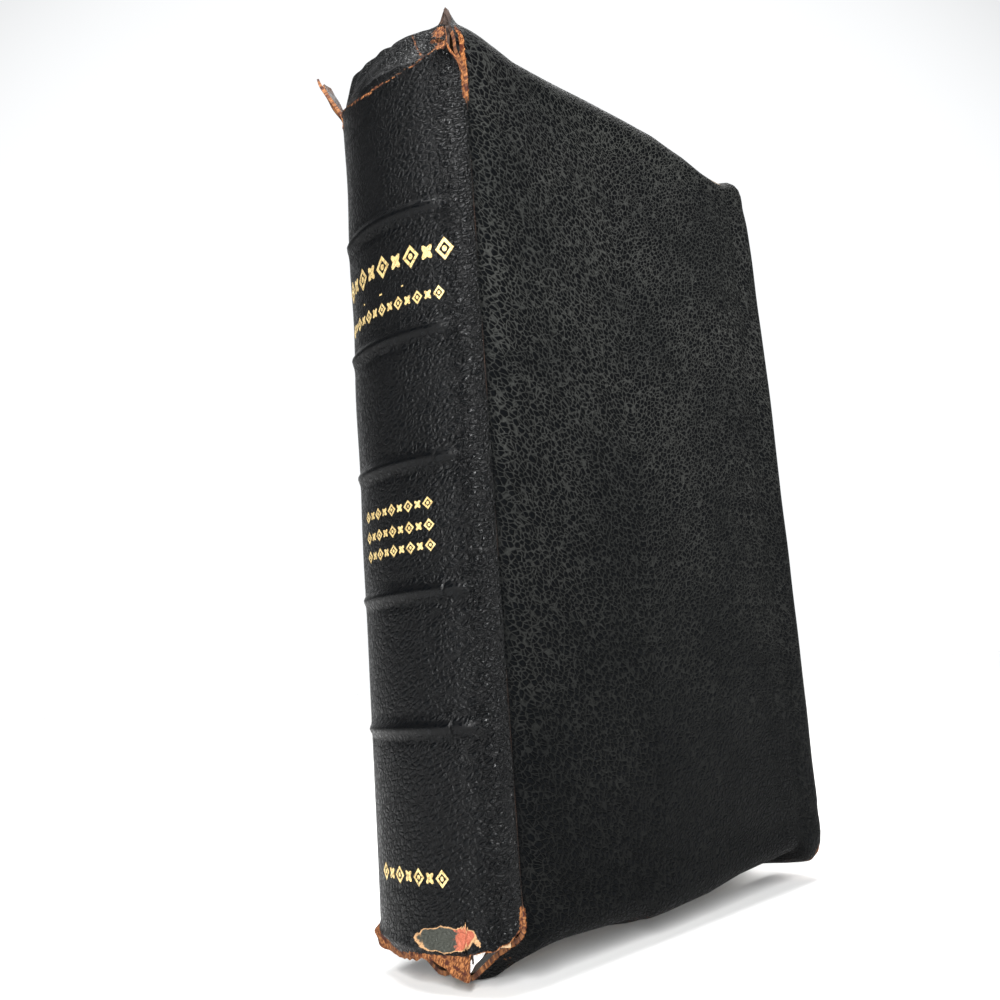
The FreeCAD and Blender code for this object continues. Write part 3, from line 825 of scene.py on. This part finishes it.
# ---- what the covers hold ----
def paper(name, tone, aged, gilt_edges):
    """Thin printed-bible paper. Its cut edges show the leaves, under worn gold where gilt_edges says so."""
    n = Nodes(name, IOR=1.45)
    at = in_mm(n)
    pulp = n.noise(at, 0.9, 5, 0.65)
    stain = n.math("MULTIPLY", n.step(n.noise(at, 0.02, 3), 0.35, 0.70, 0.12, 0.40), n.noise(at, 0.3, 4))
    fox = n.step(n.noise(at, 0.12, 2), 0.64, 0.74, 0.0, 0.35)
    face = n.mix(pulp, tone, tuple(0.9 * c for c in tone))
    face = n.mix(n.math("ADD", stain, fox), face, aged)
    leaves = n.noise(n.stretch(at, 0.0, (9.0, 0.05, 0.05)), 1.0, 3, 0.7)
    normal = n.add("TexCoord", output=1)
    across = n.math("ABSOLUTE", n.add("SeparateXYZ", {"Vector": normal}))
    edge = n.step(across, 0.5, 0.8, 1.0, 0.0)
    cut = n.mix(n.step(leaves, 0.35, 0.65), tuple(0.55 * c for c in aged), tone)
    height = n.add("Mix", {0: edge, 2: n.math("MULTIPLY", pulp, 0.2), 3: leaves})
    gold = 0.0
    if gilt_edges:
        worn = n.step(n.noise(at, 0.11, 4, 0.65), 0.50, 0.62)
        gold = n.math("MULTIPLY", edge, n.math("SUBTRACT", 1.0, worn))
        cut = n.mix(gold, cut, n.mix(leaves, rgb(0.40, 0.22, 0.07), rgb(0.78, 0.56, 0.25)))
        n.wire(Metallic=gold)
    rough = n.add("Mix", {0: gold, 2: 0.82, 3: 0.38})
    return n.wire(Base_Color=n.mix(edge, face, cut), Roughness=rough, Normal=n.bump(height, 0.00012))


def woven(name, light, dark, pitch, thread=1.0):
    """Plain weave, or a lay of threads where thread is 0."""
    n = Nodes(name, Sheen_Weight=0.25)
    at = in_mm(n)
    axes = n.add("SeparateXYZ", {"Vector": at})
    across = axes.node.outputs[0]
    up = axes.node.outputs[2]
    lines = n.math("SINE", n.math("MULTIPLY", across, math.tau / pitch))
    rows = n.math("SINE", n.math("MULTIPLY", up, math.tau / pitch))
    weave = n.math("MULTIPLY_ADD", n.math("MULTIPLY", lines, rows), 0.5 * thread, 0.5)
    weave = n.math("MULTIPLY_ADD", n.math("SUBTRACT", n.noise(at, 2.5, 4), 0.5), 0.8, weave)
    return n.wire(Base_Color=n.mix(weave, dark, light), Roughness=n.step(weave, 0, 1, 0.92, 0.78),
                  Normal=n.bump(weave, 0.0002))


def banded_silk():
    """The head and tail bands: silk wound in two colours."""
    n = Nodes("banded_silk", Sheen_Weight=0.3)
    at = in_mm(n)
    across = n.add("SeparateXYZ", {"Vector": at})
    turns = n.math("SINE", n.math("MULTIPLY", across, math.tau / 3.2))
    threads = n.math("SINE", n.math("MULTIPLY", across, math.tau / 0.4))
    colour = n.mix(n.step(turns, -0.1, 0.1), rgb(0.42, 0.035, 0.03), rgb(0.66, 0.56, 0.36))
    dusty = n.mix(n.step(n.noise(at, 0.6, 4), 0.45, 0.75), colour, rgb(0.20, 0.15, 0.10))
    return n.wire(Base_Color=dusty, Roughness=n.step(threads, -1, 1, 0.62, 0.45),
                  Normal=n.bump(threads, 0.00015))


def pressed_card(name, light, dark, scale):
    """Board and lining paper: mottled, with flecks."""
    n = Nodes(name, IOR=1.45)
    at = in_mm(n)
    mottle = n.noise(at, scale, 5, 0.65)
    flecks = n.step(n.noise(at, scale * 6, 2), 0.62, 0.70)
    colour = n.mix(n.math("MULTIPLY", flecks, 0.6), n.mix(n.step(mottle, 0.3, 0.7), dark, light), dark)
    return n.wire(Base_Color=colour, Roughness=n.step(mottle, 0.3, 0.7, 0.85, 0.72),
                  Normal=n.bump(mottle, 0.0001))


page_paper = paper("bible_paper", rgb(0.50, 0.44, 0.33), rgb(0.34, 0.24, 0.13), True)
endpaper = paper("endpaper", rgb(0.22, 0.175, 0.125), rgb(0.13, 0.08, 0.05), False)
FINISHES = {
    "board": pressed_card("limp_board", rgb(0.30, 0.24, 0.17), rgb(0.19, 0.14, 0.09), 0.5),
    "spine_liner": pressed_card("manila_liner", rgb(0.44, 0.32, 0.19), rgb(0.30, 0.20, 0.11), 0.6),
    "spine_paper": pressed_card("spine_paper", rgb(0.46, 0.37, 0.25), rgb(0.33, 0.24, 0.15), 0.8),
    "mull_cloth": woven("mull", rgb(0.62, 0.55, 0.43), rgb(0.30, 0.25, 0.18), 0.9),
    "sewing_tape": woven("linen_tape", rgb(0.60, 0.53, 0.40), rgb(0.40, 0.33, 0.22), 0.7),
    "stitches": woven("linen_thread", rgb(0.66, 0.60, 0.48), rgb(0.42, 0.36, 0.26), 0.25, 0.6),
    "_band": banded_silk(),
    "pastedown": endpaper,
    "flyleaf": endpaper,
    "section": page_paper,
}
for name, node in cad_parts.items():
    for key, material in FINISHES.items():
        if key in name:
            node.data.materials.clear()
            node.data.materials.append(material)


# ---- the leaves that turn with a cover ----
def leaf_block(low, high):
    """One section as a closed block, with its rows close together near the gutter, between two corners of its
    box.
    """
    x0, x1 = low[0], high[0]
    back_y = PAGE_ARC_Y - math.sqrt(PAGE_ARC_R**2 - max(abs(x0), abs(x1)) ** 2)
    fore_y = high[1]
    corner_y = fore_y - PAGE_CORNER
    stations = np.concatenate([
        np.linspace(back_y, 20, 26),
        np.linspace(25, corner_y, 10),
        fore_y - PAGE_CORNER * (1 - np.sin(np.linspace(0.25, 1.571, 9))),
    ])
    levels = np.linspace(0, 1, 14)
    rings = []
    for y in stations:
        lift = PAGE_CORNER - math.sqrt(max(PAGE_CORNER**2 - max(y - corner_y, 0) ** 2, 0))
        z = PAGE_TAIL + lift + levels * (PAGE_HEAD - PAGE_TAIL - 2 * lift)
        pinch = 0.30 * (x1 - x0) * (1 - smooth((y - back_y) / 0.9))
        wave = 0.045 * ripple(y + 0 * z, z, 50, 41) * smooth((y - 10) / 20)
        up = np.column_stack([x0 + pinch + wave, y + 0 * z, z])
        down = np.column_stack([x1 - pinch + wave, y + 0 * z, z])[::-1]
        rings.append(np.concatenate([up, down]))
    points = np.array(rings)
    count = points.shape[1]
    index = np.arange(points.shape[0] * count).reshape(points.shape[0], count)
    index = np.column_stack([index, index[:, :1]])
    faces = grid_faces(index).tolist()
    half = len(levels)
    for ring, flip in ((index[0], False), (index[-1], True)):
        for k in range(half - 1):
            quad = [ring[k], ring[k + 1], ring[count - 2 - k], ring[count - 1 - k]]
            faces.append(quad[::-1] if flip else quad)
    return points.reshape(-1, 3), faces


def turning_leaves(name, numbers):
    """The leaves that turn with one cover, as one piece."""
    points, faces = [], []
    for number in numbers:
        low, high = (np.array(c) * 1000 - [MIDDLE_X, SHOULDER_Y, 0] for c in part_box(f"section_{number:02d}"))
        block_points, block_faces = leaf_block(low, high)
        start = sum(len(p) for p in points)
        points.append(block_points)
        faces.extend([[start + k for k in face] for face in block_faces])
    piece = make_piece(name + "_leaves_paper", np.concatenate(points), faces, [page_paper], sharp=0.6)
    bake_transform(piece)
    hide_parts(name + "_section_folds", *[f"section_{number:02d}" for number in numbers])


turning_leaves("front", range(1, 5))
turning_leaves("back", range(27, 31))


# ---- floor, light and camera ----
def studio():
    """A plain pale floor and a pale surround that is dimmer to the sides."""
    n = Nodes("studio_floor")
    at = n.add("TexCoord", output=3)
    tone = n.mix(n.noise(at, 1.5, 2), rgb(0.74, 0.74, 0.735), rgb(0.78, 0.78, 0.775))
    n.wire(Base_Color=tone, Roughness=n.step(n.noise(at, 3.0, 2), 0.3, 0.7, 0.9, 0.95))
    bpy.ops.mesh.primitive_grid_add(x_subdivisions=8, y_subdivisions=8, size=16)
    floor = bpy.context.object
    floor.name = "studio_floor"
    floor.data.materials.append(n.material)

    world = bpy.data.worlds.new("studio")
    world.use_nodes = True
    bpy.context.scene.world = world
    tree = world.node_tree
    where = tree.nodes.new("ShaderNodeTexCoord")
    toward = tree.nodes.new("ShaderNodeVectorMath")
    toward.operation = "DOT_PRODUCT"
    toward.inputs[1].default_value = (-0.69, 0.71, 0.10)
    level = tree.nodes.new("ShaderNodeMapRange")
    level.interpolation_type = "SMOOTHSTEP"
    for key, value in (("From Min", 0.62), ("From Max", 0.86), ("To Min", 0.16), ("To Max", 1.04)):
        level.inputs[key].default_value = value
    tree.links.new(where.outputs["Generated"], toward.inputs[0])
    tree.links.new(toward.outputs["Value"], level.inputs["Value"])
    tree.links.new(level.outputs[0], tree.nodes["Background"].inputs["Strength"])
    tree.nodes["Background"].inputs["Color"].default_value = rgb(0.98, 0.99, 1.0)


def lamp(name, where, target, wide, high, power):
    """A soft lamp at a place, turned to a target, both in book millimetres."""
    data = bpy.data.lights.new(name, "AREA")
    data.shape = "RECTANGLE"
    data.size = wide
    data.size_y = high
    data.energy = power
    thing = bpy.data.objects.new(name, data)
    bpy.context.collection.objects.link(thing)
    here, there = Vector(place(where)), Vector(place(target))
    thing.location = here
    thing.rotation_euler = (there - here).to_track_quat("-Z", "Y").to_euler()


def camera():
    """Low, beside the front joint, looking slightly up. Place, angles and lens are a fit's rounded result."""
    turn, rise, roll = math.radians(43.54), math.radians(-9.8), math.radians(-4.01)
    back = Vector((math.sin(turn) * math.cos(rise), -math.cos(turn) * math.cos(rise), math.sin(rise)))
    right = Vector((math.cos(turn), math.sin(turn), 0))
    up = back.cross(right)
    side = math.cos(roll) * right + math.sin(roll) * up
    top = -math.sin(roll) * right + math.cos(roll) * up
    data = bpy.data.cameras.new("camera")
    data.sensor_width = 36
    data.lens = 36.92
    data.clip_start = 0.01
    thing = bpy.data.objects.new("camera", data)
    bpy.context.collection.objects.link(thing)
    spot = Vector(place([178.3, -161.11, 65.11]))
    thing.matrix_world = Matrix.Translation(spot) @ Matrix((side, top, back)).transposed().to_4x4()
    bpy.context.scene.camera = thing


studio()
lamp("overhead", (-150, 500, 820), (0, 50, 200), 0.4, 0.4, 3.0)
lamp("side", (800, 560, 320), (20, 0, 130), 0.10, 0.9, 4.0)
lamp("window", (600, -640, 380), (20, 0, 120), 0.07, 0.8, 25)
# A wide sun straight above keeps the floor as pale as the surround.
sky = bpy.data.lights.new("sky", "SUN")
sky.energy = 3.6
sky.angle = 0.6
sky_thing = bpy.data.objects.new("sky", sky)
bpy.context.collection.objects.link(sky_thing)
camera()
bpy.context.scene.view_settings.view_transform = "Standard"
